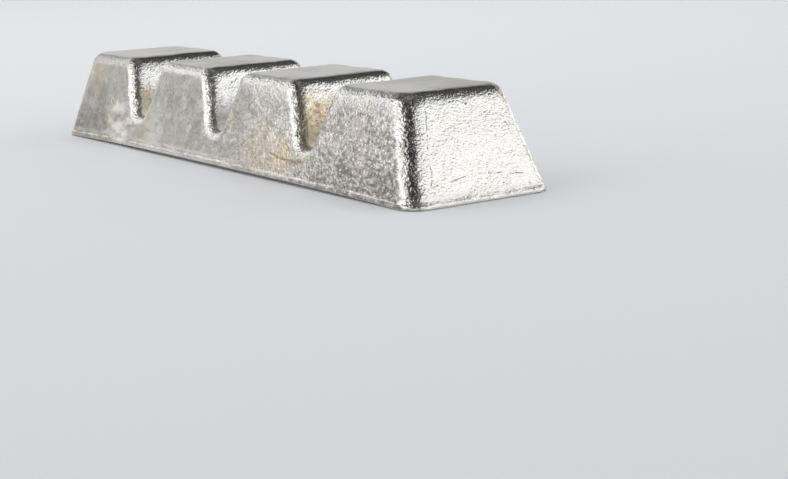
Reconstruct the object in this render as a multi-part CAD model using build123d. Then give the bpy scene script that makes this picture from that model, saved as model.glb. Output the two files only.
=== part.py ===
from build123d import *
import math
import os

# Tin ingot, one solid casting, lying on the broad face that was open in the mould.
# X runs along the ingot, Y across it, Z up. It rests on z = 0.

# Block
length = 320.0
width = 70.0
height = 43.0
end_draft = 21.5
side_draft = 12.5
corner_radius = 10.0

# Bead round the resting face, where the metal lay against the mould's open rim
bead_stand_out = 0.3
bead_land = 1.4
bead_slope = 40.0
bead_slope_height = 2.6
bead_edge_radius = 0.7
bead_knee_radius = 1.2
bead_root_radius = 3.0

# Breaking notches across the ingot
notch_count = 3
notch_pitch = 77.5
notch_depth = 27.5
notch_mouth = 31.4
notch_wall_draft = 24.0

# Rounding of the blocks' upper edges and of the notches' ends
cast_radius = 6.5

notch_places = [(i - (notch_count - 1) / 2) * notch_pitch for i in range(notch_count)]


def drafted_block():
    """Box with drafted sides, steeper ends and rounded upright corners."""
    block = extrude(Rectangle(length - 2 * bead_stand_out, width - 2 * bead_stand_out), height)
    block = draft(block.faces().filter_by(Axis.Y), Plane.XY, side_draft)
    ends = [f for f in block.faces() if abs(f.normal_at().X) > 0.99]
    block = draft(ends, Plane.XY, end_draft)
    corners = [e for e in block.edges() if e.bounding_box().size.Z > height / 2]
    return fillet(corners, corner_radius)


def bead():
    """Low rim with an upright land and, past a soft knee, a slope running inward."""
    outline = RectangleRounded(length, width, corner_radius)
    slope = extrude(Pos(0, 0, bead_land) * outline, bead_slope_height, taper=bead_slope)
    rim = extrude(outline, bead_land) + slope
    knee = [e for e in rim.edges() if lies_level(e, bead_land)]
    return fillet(knee, bead_knee_radius)


def lies_level(edge, z):
    """Edges that lie level at one height."""
    box = edge.bounding_box()
    return abs(box.max.Z - z) < 0.01 and abs(box.min.Z - z) < 0.01


def notch_cutter():
    """Bar with drafted walls and a full-round floor, lying across the ingot."""
    slope = math.radians(notch_wall_draft)
    floor_z = height - notch_depth
    # The floor's arc is tangent to both walls, which would meet at the apex
    apex_z = height - notch_mouth / 2 / math.tan(slope)
    floor_radius = (floor_z - apex_z) * math.sin(slope) / (1 - math.sin(slope))
    wall_x = floor_radius * math.cos(slope)
    wall_z = floor_z + floor_radius * (1 - math.sin(slope))
    # The walls run on above the top face, so that the cut is clean
    lid_z = height + 5
    lid_x = notch_mouth / 2 + 5 * math.tan(slope)
    outline = [
        Line((-lid_x, lid_z), (-wall_x, wall_z)),
        ThreePointArc((-wall_x, wall_z), (0, floor_z), (wall_x, wall_z)),
        Line((wall_x, wall_z), (lid_x, lid_z)),
        Line((lid_x, lid_z), (-lid_x, lid_z)),
    ]
    return extrude(Plane.XZ * make_face(outline), width, both=True)


def on_top_rim(edge):
    """Edges that outline the top of one of the blocks."""
    return edge.bounding_box().min.Z > height - 0.01


def on_notch_mouth(edge):
    """Edges where a notch opens through one of the long sides."""
    box = edge.bounding_box()
    centre = box.center()
    beside_notch = any(abs(centre.X - place) < notch_mouth / 2 for place in notch_places)
    return beside_notch and abs(centre.Y) > width / 4 and box.size.Y < width / 4 and box.min.Z > 10


block = drafted_block()
rim = bead()
ingot = block + rim
ingot = fillet(new_edges(block, rim, combined=ingot), bead_root_radius)
ingot = fillet([e for e in ingot.edges() if lies_level(e, 0)], bead_edge_radius)
cutter = notch_cutter()
for place in notch_places:
    ingot -= Pos(place, 0, 0) * cutter

# One rolling-ball rounding runs round each block's top and down into the notches' ends
rounded = [e for e in ingot.edges() if on_top_rim(e) or on_notch_mouth(e)]
ingot = fillet(rounded, cast_radius)

ingot.label = "ingot"
os.makedirs("parts", exist_ok=True)
export_step(ingot, "parts/ingot.step")
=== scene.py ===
import math
import bpy
from mathutils import Matrix, Vector


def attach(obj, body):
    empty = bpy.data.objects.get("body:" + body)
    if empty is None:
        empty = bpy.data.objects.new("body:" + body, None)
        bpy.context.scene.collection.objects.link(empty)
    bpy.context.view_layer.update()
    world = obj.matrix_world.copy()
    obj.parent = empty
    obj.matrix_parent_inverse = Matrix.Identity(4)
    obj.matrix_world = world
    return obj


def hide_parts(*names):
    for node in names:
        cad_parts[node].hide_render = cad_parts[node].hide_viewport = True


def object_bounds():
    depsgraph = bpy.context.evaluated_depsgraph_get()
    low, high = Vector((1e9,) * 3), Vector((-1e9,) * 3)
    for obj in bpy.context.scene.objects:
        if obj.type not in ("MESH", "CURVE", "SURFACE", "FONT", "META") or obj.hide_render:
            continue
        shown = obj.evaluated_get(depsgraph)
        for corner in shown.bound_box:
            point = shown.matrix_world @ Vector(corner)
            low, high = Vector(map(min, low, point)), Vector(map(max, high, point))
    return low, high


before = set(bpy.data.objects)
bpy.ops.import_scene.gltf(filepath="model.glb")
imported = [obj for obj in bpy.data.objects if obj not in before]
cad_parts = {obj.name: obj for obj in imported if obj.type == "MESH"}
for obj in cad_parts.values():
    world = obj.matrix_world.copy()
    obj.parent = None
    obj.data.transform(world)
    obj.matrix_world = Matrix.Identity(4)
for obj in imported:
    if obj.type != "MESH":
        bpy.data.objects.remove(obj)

cad_low, cad_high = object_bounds()

# Ingot casting
# One bar of tin, poured into an open iron mould and turned out on its broad face.
# The mould's skin left it gently uneven, so a copy of the plain solid has its skin worked.
bead_top = 0.004
resting_edge_top = 0.0004
arch_height = 0.0013
arch_half_span = 0.155

bpy.ops.object.select_all(action="DESELECT")
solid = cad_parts["ingot"]
solid.select_set(True)
bpy.context.view_layer.objects.active = solid
bpy.ops.object.duplicate()
casting = bpy.context.active_object
casting.name = "ingot_casting"
casting.parent = None
bpy.ops.object.mode_set(mode="EDIT")
bpy.ops.mesh.select_all(action="SELECT")
bpy.ops.mesh.remove_doubles(threshold=0.00001)
bpy.ops.object.mode_set(mode="OBJECT")


def work(kind, **settings):
    """Puts one modifier on the casting and applies it."""
    modifier = casting.modifiers.new(kind.lower(), kind)
    for name, value in settings.items():
        setattr(modifier, name, value)
    bpy.ops.object.modifier_apply(modifier=modifier.name)


def weigh(name, weight_at):
    """Weighs the casting's vertices, by their place, for a modifier to act on."""
    group = casting.vertex_groups.new(name=name)
    for vertex in casting.data.vertices:
        group.add([vertex.index], weight_at(vertex.co), "REPLACE")
    return group.name


def swell(where, size, depth, rest):
    """Moves the skin in and out by up to depth, in soft swells about size across."""
    pattern = bpy.data.textures.new(where + "_swell", "CLOUDS")
    pattern.noise_scale = size
    pattern.noise_depth = 1
    amount = {"strength": depth, "mid_level": rest, "vertex_group": where}
    work("DISPLACE", texture=pattern, texture_coords="LOCAL", **amount)


work("REMESH", mode="VOXEL", voxel_size=0.00095)
work("SMOOTH", factor=0.5, iterations=2)

# The skin that stood against the mould is all but the resting face
skin = weigh("mould_skin", lambda at: 1.0 if at.z > bead_top else 0.0)
bead = weigh("bead", lambda at: 1.0 if resting_edge_top < at.z < bead_top else 0.0)
swell(skin, size=0.02, depth=0.0006, rest=0.5)
swell(skin, size=0.0055, depth=0.0003, rest=0.5)
swell(bead, size=0.006, depth=0.0005, rest=1.0)

# The open face sank a little as it cooled, so the foot arches up between the two ends
sunk = weigh("sunk", lambda at: max(0.0, 1.0 - (at.x / arch_half_span) ** 4) * (1.0 - at.z / cad_high[2]))
work("DISPLACE", direction="Z", strength=arch_height, mid_level=0.0, vertex_group=sunk)

# The worked skin is brought back to the plain solid's overall size
casting.scale = [cad_high[axis] / max(abs(v.co[axis]) for v in casting.data.vertices) for axis in range(3)]
bpy.ops.object.transform_apply(location=False, rotation=False, scale=True)
casting.vertex_groups.clear()
bpy.ops.object.shade_smooth()
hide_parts("ingot")
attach(casting, "root")


class Field:
    """A number or vector that varies over the surface, written as an expression."""

    def __init__(self, socket):
        self.socket = socket

    def maths(self, operation, *others):
        node = self.socket.id_data.nodes.new("ShaderNodeMath")
        node.operation = operation
        for slot, value in zip(node.inputs, (self,) + others):
            feed(slot, value)
        return Field(node.outputs[0])

    def __add__(self, other):
        return self.maths("ADD", other)

    def __radd__(self, other):
        return self.maths("ADD", other)

    def __mul__(self, other):
        return self.maths("MULTIPLY", other)

    def __rmul__(self, other):
        return self.maths("MULTIPLY", other)

    def __sub__(self, other):
        return self.maths("SUBTRACT", other)

    def __rsub__(self, other):
        return self * -1.0 + other

    def __abs__(self):
        return self.maths("ABSOLUTE")

    def lower(self, other):
        return self.maths("MINIMUM", other)

    def higher(self, other):
        return self.maths("MAXIMUM", other)


def feed(slot, value):
    """Links a field to a node's socket, or sets the socket to a plain value."""
    if isinstance(value, Field):
        slot.id_data.links.new(value.socket, slot)
    else:
        slot.default_value = value


class Finish:
    """A material or a world, whose nodes are all made by one method."""

    def __init__(self, owner):
        owner.use_nodes = True
        self.owner = owner
        self.tree = owner.node_tree

    def node(self, kind, settings, sockets):
        """One node: its settings first, then the values or links of its sockets."""
        made = self.tree.nodes.new("ShaderNode" + kind)
        for name, value in settings.items():
            setattr(made, name, value)
        for key, value in sockets.items():
            feed(made.inputs[key], value)
        return made

    def out(self, kind, settings, sockets, output=0):
        """One output of a new node."""
        return Field(self.node(kind, settings, sockets).outputs[output])

    def split(self, vector):
        made = self.node("SeparateXYZ", {}, {"Vector": vector})
        return [Field(output) for output in made.outputs]

    def join(self, x, y, z):
        return self.out("CombineXYZ", {}, {"X": x, "Y": y, "Z": z})

    def step(self, value, start, end):
        """0 up to the start and 1 from the end on, with a smooth change between. The end may be the lower."""
        sockets = {"Value": value, "From Min": start, "From Max": end}
        return self.out("MapRange", {"interpolation_type": "SMOOTHSTEP"}, sockets)

    def noise(self, over, scale, detail=2.0, roughness=0.5, distortion=0.0):
        """Soft noise from 0 to 1, about as fine as scale waves to the metre."""
        sockets = {"Vector": over, "Scale": scale, "Detail": detail}
        sockets.update({"Roughness": roughness, "Distortion": distortion})
        return self.out("TexNoise", {}, sockets)

    def ripple(self, over, scale, *finer):
        """Soft noise that swings evenly about 0, so that it can fade out and leave no step."""
        return self.noise(over, scale, *finer) - 0.5

    def spots(self, over, scale, start, end, detail=3.0, roughness=0.6):
        """Broken spots, where the noise goes from start to end."""
        return self.step(self.noise(over, scale, detail, roughness), start, end)

    def blend(self, amount, first, second):
        """A colour that turns from the first to the second as the amount goes from 0 to 1."""
        # A Mix node repeats its sockets for each kind of value, and these are the ones for colours
        factor, colour_a, colour_b, result = 0, 6, 7, 2
        sockets = {factor: amount, colour_a: first, colour_b: second}
        return self.out("Mix", {"data_type": "RGBA"}, sockets, result)


tin = Finish(bpy.data.materials.new("cast_tin"))
shader = tin.tree.nodes["Principled BSDF"]
place = tin.out("TexCoord", {}, {}, "Object")
x, y, z = tin.split(place)
nx, ny, nz = tin.split(tin.out("TexCoord", {}, {}, "Normal"))

# How far the skin faces along the bar, across it or up, and where it rounds over
faces_end = tin.step(abs(nx), 0.78, 0.92)
faces_side = tin.step(abs(ny), 0.87, 0.965)
faces_up = tin.step(nz, 0.9, 0.99) * tin.step(z, 0.03, 0.037)
outer_end = tin.step(abs(x), 0.12, 0.135) * faces_end
in_notch = tin.step(abs(ny), 0.75, 0.55) * tin.step(abs(x), 0.12, 0.1) * tin.step(z, 0.04, 0.034)
rounded = (1.0 - faces_side) * (1.0 - faces_end) * (1.0 - faces_up)

# The blocks and notches count from the end at -X. The sides are smooth there, with their grain drawn
# out, and grow livelier toward the end at +X, the near one
near_end = tin.step(x, -0.05, 0.13)
far_side = faces_side * (1.0 - near_end)
drawn = tin.join(x * (near_end * 0.26 + 0.42) + z * 0.15, y, z - x * 0.12)
lively = tin.spots(place, 42.0, 0.42, 0.62, 3.0, 0.55) * (1.0 - near_end) * 0.25 + near_end

# Relief, in millimetres: grain and dents all over, wrinkles lying flat on the two ends,
# a coarser grain drawn out along the sides, and ragged roundings
flat_lying = tin.join(x, y * 0.6, z + y * 0.25)
upright_short = tin.join(x, y, z * 1.6)
grain = tin.ripple(place, 950.0, 2.0, 0.55) * (0.28 - faces_up * 0.22 - far_side * 0.2)
dents = tin.ripple(place, 230.0) * (0.32 - faces_up * 0.12 - far_side * 0.2)
wrinkles = tin.ripple(flat_lying, 1250.0, 2.0, 0.5, 0.4) * outer_end * 0.28
side_grain = tin.ripple(drawn, 850.0) * faces_side * lively * lively * 1.24
toward_side = tin.step(abs(ny), 0.5, 0.8) * 0.85 + 0.15
ragged = tin.ripple(upright_short, 640.0) * rounded * toward_side * 0.48
relief = grain + dents + wrinkles + side_grain + ragged

# Wavering ridges where the flats of the ends meet the corners and the foot, and low along the sides
side_slope = 0.222
flat_half_width = 0.0247
waver = tin.ripple(place, 60.0, 3.0, 0.6) + tin.ripple(place, 330.0) * 0.35
beside_corner = abs(abs(y) + z * side_slope - flat_half_width + waver * 0.004)
above_foot = abs(z - 0.0108 + abs(y) * 0.12 + waver * 0.003)
along_side = abs(z - 0.0057 + waver * 0.002)
end_ridge = tin.step(beside_corner.lower(above_foot + 0.0003), 0.0007, 0.0) * outer_end
side_ridge = tin.step(along_side, 0.0008, 0.0) * far_side * 0.4
broken = tin.spots(place, 160.0, 0.4, 0.55, 2.0, 0.5)
relief = relief + (end_ridge + side_ridge) * broken * 0.2

# The ends lean back a little just under their upper rounding
lean = tin.step(z + waver * 0.002, 0.0368, 0.0410) * (1.0 - faces_up)
lean = lean * tin.step(abs(x), 0.12, 0.135) * tin.step(abs(y), 0.028, 0.020)
relief = relief - lean * 0.42


def patch(px, py, pz, reach, edge):
    """A round patch about a point, in millimetres, broken up where its edge is given as noise."""
    centre = (px / 1000, py / 1000, pz / 1000)
    away = tin.out("VectorMath", {"operation": "DISTANCE"}, {0: place, 1: centre}, "Value")
    return tin.step(away * 1000.0 + (edge - 0.5) * reach * 2.5, reach * 1.1, reach * 0.3)


# A shallow curved scar under the third notch, and a few pits, each with its place and reach
pits = ((-108.6, -30.1, 20.9, 1.8), (-95, -33, 8, 0.8), (145.2, 2.3, 36.7, 0.7), (20, -31, 17, 0.7))
from_lowest = x - 0.07
off_scar = abs(z - 0.0097 - from_lowest * from_lowest * 5.9 + waver * 0.001)
scar = tin.step(off_scar, 0.0008, 0.0001)
scar = scar * tin.step(abs(x - 0.065), 0.018, 0.010) * tin.step(y, -0.02, -0.025)
for px, py, pz, reach in pits:
    scar = scar.higher(patch(px, py, pz, reach, 0.5))
relief = relief - scar * 0.24
millimetre = 0.001
bump = tin.out("Bump", {}, {"Strength": 1.0, "Distance": millimetre, "Height": relief})
feed(shader.inputs["Normal"], bump)

# Bare tin, a little greyer on the wrinkled ends, with painted shade greying the first block's over-bright
# upper rim
bare_tin = (0.87, 0.855, 0.82, 1)
end_tin = (0.80, 0.785, 0.75, 1)
rim_painted_shade_tin = (0.60, 0.585, 0.55, 1)
# Painted shade: the upper rim rounding of the first block is painted a darker grey
far_rim_painted_shade = tin.step(x, -0.06, -0.12) * tin.step(z, 0.036, 0.0385) * (1.0 - faces_up)
bare = tin.blend(far_rim_painted_shade, tin.blend(outer_end, bare_tin, end_tin), rim_painted_shade_tin)

# A grey film dulls the long sides, mottled and speckled, and rubbed off along their upper rim.
# Their colour is also made darker low down and over the lower part of the first block
dark_film = (0.26, 0.238, 0.205, 1)
pale_film = (0.87, 0.83, 0.77, 1)
cloud = tin.noise(place, 240.0, 4.0, 0.7)
low_down = tin.step(z + cloud * 0.008, 0.028, 0.010) * tin.step(abs(x), 0.05, 0.11)
first_block = tin.step(x, -0.1, -0.13) * tin.step(z + cloud * 0.004, 0.036, 0.030)
mottle = tin.spots(drawn, 140.0, 0.34, 0.64, 4.0, 0.65)
speck = tin.spots(drawn, 560.0, 0.38, 0.61, 4.0, 0.65)
paleness = speck * (0.02 + lively * 0.64) + mottle * (0.2 + lively * 0.12) + (1.0 - lively) * 0.71 + 0.07
film = tin.blend(paleness - low_down * 0.25 - first_block * 0.25, dark_film, pale_film)
thickness = 0.45 + tin.noise(place, 50.0, 4.0, 0.65) + low_down * 0.2
rubbed = tin.step(z + cloud * 0.012, 0.0385, 0.043) * tin.step(x, -0.14, 0.02)
colour = tin.blend(faces_side * thickness * (1.0 - rubbed * 0.8), bare, film)

# The roundings are worn in flecks, the block tops dull in soft blotches
worn_tin = (0.50, 0.46, 0.39, 1)
dull_top = (0.62, 0.61, 0.585, 1)
worn = tin.step(abs(nx), 0.25, 0.45) * tin.step(abs(ny), 0.25, 0.45) * tin.spots(place, 330.0, 0.47, 0.6)
blotches = faces_up * tin.spots(place, 32.0, 0.4, 0.62, 3.0, 0.55)
colour = tin.blend(worn * 0.85, colour, worn_tin)
colour = tin.blend(blotches * 0.7, colour, dull_top)


def lay_on(layer, patches, limit):
    """The layer with patches over it, each with its place, reach and strength, kept within the limit."""
    for px, py, pz, reach, strength in patches:
        layer = layer.higher(patch(px, py, pz, reach, cloud) * limit * strength)
    return layer


# Light tan tarnish in broken patches, with browner flecks inside the notches
tan = (0.76, 0.62, 0.38, 1)
straw_painted_light = (1.0, 0.87, 0.60, 1)
brown_fleck = (0.42, 0.30, 0.15, 1)
notch_tarnish = ((70, -18, 22, 20, 0.9), (-83, -20, 19, 13, 0.7))
side_tarnish = (
    (-128, -27, 36, 15, 0.35),
    (-70, -32, 12, 15, 0.2),
    (44, -33, 11, 16, 0.3),
    (61, -33, 11, 10, 0.6),
)
tarnish = tin.spots(place, 38.0, 0.52, 0.72, 4.0) * 0.25
tarnish = lay_on(tarnish, notch_tarnish, in_notch)
tarnish = lay_on(tarnish, side_tarnish, faces_side)
flecks = tin.spots(place, 420.0, 0.45, 0.62, 3.0, 0.65) * in_notch * tin.step(z, 0.012, 0.034)
# Low in the notches the tan is painted paler, toward straw: painted light on the shaded foot of the notches
gold_and_painted_light = tin.blend(in_notch * tin.step(z, 0.032, 0.022), tan, straw_painted_light)
colour = tin.blend(tarnish, colour, tin.blend(flecks, gold_and_painted_light, brown_fleck))

# The foot of each notch's walls is duller, and the third notch's walls are painted darker where they turn
# outward
turn_darkening = (0.27, 0.23, 0.17, 1)
foot_grime = (0.48, 0.43, 0.36, 1)
deep = in_notch * tin.step(abs(ny), 0.35, 0.12) * tin.step(z + cloud * 0.012, 0.038, 0.023)
turned = in_notch * tin.step(abs(ny), 0.12, 0.2) * tin.step(abs(ny), 0.55, 0.35)
turned = turned * patch(66, -30, 25, 22, cloud)
colour = tin.blend(turned * 0.7, colour, turn_darkening)
colour = tin.blend(deep * tin.spots(place, 480.0, 0.5, 0.6, 2.0) * 0.5, colour, foot_grime)

# The ends' foot is a little duller and painted paler, a painted light over the dark reflection at the bead's
# root
pale_painted_light = (0.95, 0.93, 0.89, 1)
end_foot_painted_light = tin.step(z + waver * 0.002, 0.0054, 0.0042)
end_foot_painted_light = end_foot_painted_light * tin.step(abs(x), 0.150, 0.154) * tin.step(abs(y), 0.031, 0.026)
colour = tin.blend(end_foot_painted_light * 0.5, colour, pale_painted_light)

# Frosty cream bloom in soft blotches, thickest low on the first block, and dirt in the scar and pits
cream = (0.97, 0.93, 0.86, 1)
scar_dirt = (0.36, 0.29, 0.18, 1)
low_bloom = ((-98, -32, 11, 17, 0.8), (-60, -32, 12, 14, 0.3))
bloom = tin.spots(place, 150.0, 0.52, 0.72) * faces_side * 0.28
bloom = lay_on(bloom, low_bloom, tin.spots(drawn, 250.0, 0.34, 0.64, 2.0, 0.5))
colour = tin.blend(bloom, colour, cream)
colour = tin.blend(scar * 0.6, colour, scar_dirt)
feed(shader.inputs["Base Color"], colour)

# Bare metal shines, and what lies on it is dull
metal = 1.0 - bloom * 0.1 - faces_up * 0.45 - in_notch * (1.0 - faces_end) * 0.1
feed(shader.inputs["Metallic"], metal - deep * 0.75 - end_foot_painted_light * 0.4)
matt = 0.11 + tin.noise(place, 120.0, 3.0, 0.6) * 0.14 + tarnish * 0.06
feed(shader.inputs["Roughness"], matt + bloom * 0.4 + faces_up * 0.22 + far_side * 0.06)
casting.data.materials.clear()
casting.data.materials.append(tin.owner)

# Floor
# A plain pale floor, matt and level, that runs on out of sight.
# It carries the ingot's shadow and is no part of it.
bpy.ops.object.select_all(action="DESELECT")
bpy.ops.mesh.primitive_plane_add(size=12, location=(0, 0, 0))
floor = bpy.context.active_object
floor.name = "floor"
paint = Finish(bpy.data.materials.new("floor_paint"))
coat = paint.tree.nodes["Principled BSDF"].inputs
feed(coat["Base Color"], (0.80, 0.805, 0.825, 1))
feed(coat["Roughness"], 0.8)
feed(coat["Specular IOR Level"], 0.2)
floor.data.materials.append(paint.owner)

# Light
# A pale studio with a wide soft light on each side of the camera and a dark gap behind it.
# The ceiling stays dark above the lights, and a soft lamp hangs over the floor.
world = bpy.context.scene.world or bpy.data.worlds.new("studio")
bpy.context.scene.world = world
studio = Finish(world)
# A world's first coordinate is the direction looked in
toward_x, toward_y, toward_z = studio.split(studio.out("TexCoord", {}, {}))
bearing = toward_y.maths("ARCTAN2", toward_x) * (180 / math.pi)
height = toward_z.maths("ARCSINE") * (180 / math.pi)


def window(low, high, bottom, top, soft=8.0):
    """A soft-edged bright panel between two bearings and two heights, in degrees."""
    middle, half = (low + high) / 2, (high - low) / 2
    # The turn from the panel's middle, brought into -180 to 180
    turn = (bearing - middle + 540.0).maths("FLOORED_MODULO", 360.0) - 180.0
    across = studio.step(abs(turn), half + soft / 2, half - soft / 2)
    over_bottom = studio.step(height, bottom - soft / 2, bottom + soft / 2)
    under_top = studio.step(height, top + soft / 2, top - soft / 2)
    return across * (over_bottom * under_top)


# A dim ceiling, a little brighter overhead
glow = studio.step(height, 30, 50) * 0.04 + studio.step(height, 66, 80) * 0.17 + 0.02
# Lights beyond the ingot, mirrored in the block tops and their roundings
glow = glow + window(95, 200, -90, 24, 6) * 0.6
glow = glow + window(83, 126, -40, 15, 6) * 0.8
glow = glow + window(152, 200, 24, 46, 14) * 0.25
# Lights past the far end, mirrored in the long side
glow = glow + window(-165, -138, -90, 16) * 0.2
glow = glow + window(-160, -151, -90, 16, 4) * 0.25
glow = glow + window(-185, -140, 14, 32) * 0.85
# The wide light on the right, mirrored in the near end and the notch walls, dimmer toward its top
glow = glow + window(-18, 85, -10, 45, 10) * (1.51 - height * 0.0112)
# The wide light on the left, mirrored in the corners and in the notches' mouths
glow = glow + window(-139, -76, -6, 50, 5) * 1.42
background = studio.tree.nodes["Background"].inputs
feed(background["Strength"], glow)
feed(background["Color"], (0.98, 0.99, 1.0, 1))

lamp_width = 2.4
lamp_data = bpy.data.lights.new("overhead", "AREA")
lamp_data.shape = "RECTANGLE"
lamp_data.size = lamp_width
lamp_data.size_y = lamp_width
lamp_data.energy = 35
lamp = bpy.data.objects.new("overhead", lamp_data)
lamp.location = (-0.8, 0.2, 2.1)
lamp.visible_glossy = False
bpy.context.scene.collection.objects.link(lamp)

# Camera
# Placed so that the ingot's corners, notches and foot land where the photograph shows them.
# It looks along the bar from one end, from a little above.
camera_data = bpy.data.cameras.new("camera")
camera = bpy.data.objects.new("camera", camera_data)
bpy.context.scene.collection.objects.link(camera)
camera_data.sensor_width = 36
camera_data.lens = 79.218
right = Vector((0.55708, 0.8296, -0.03784))
up = Vector((-0.14304, 0.14074, 0.97966))
back = Vector((0.81805, -0.54034, 0.19706))
placed = Matrix((right, up, back)).transposed().to_4x4()
placed.translation = Vector((0.68699, -0.39091, 0.11835))
camera.matrix_world = placed
bpy.context.scene.camera = camera
bpy.context.scene.view_settings.view_transform = "Standard"
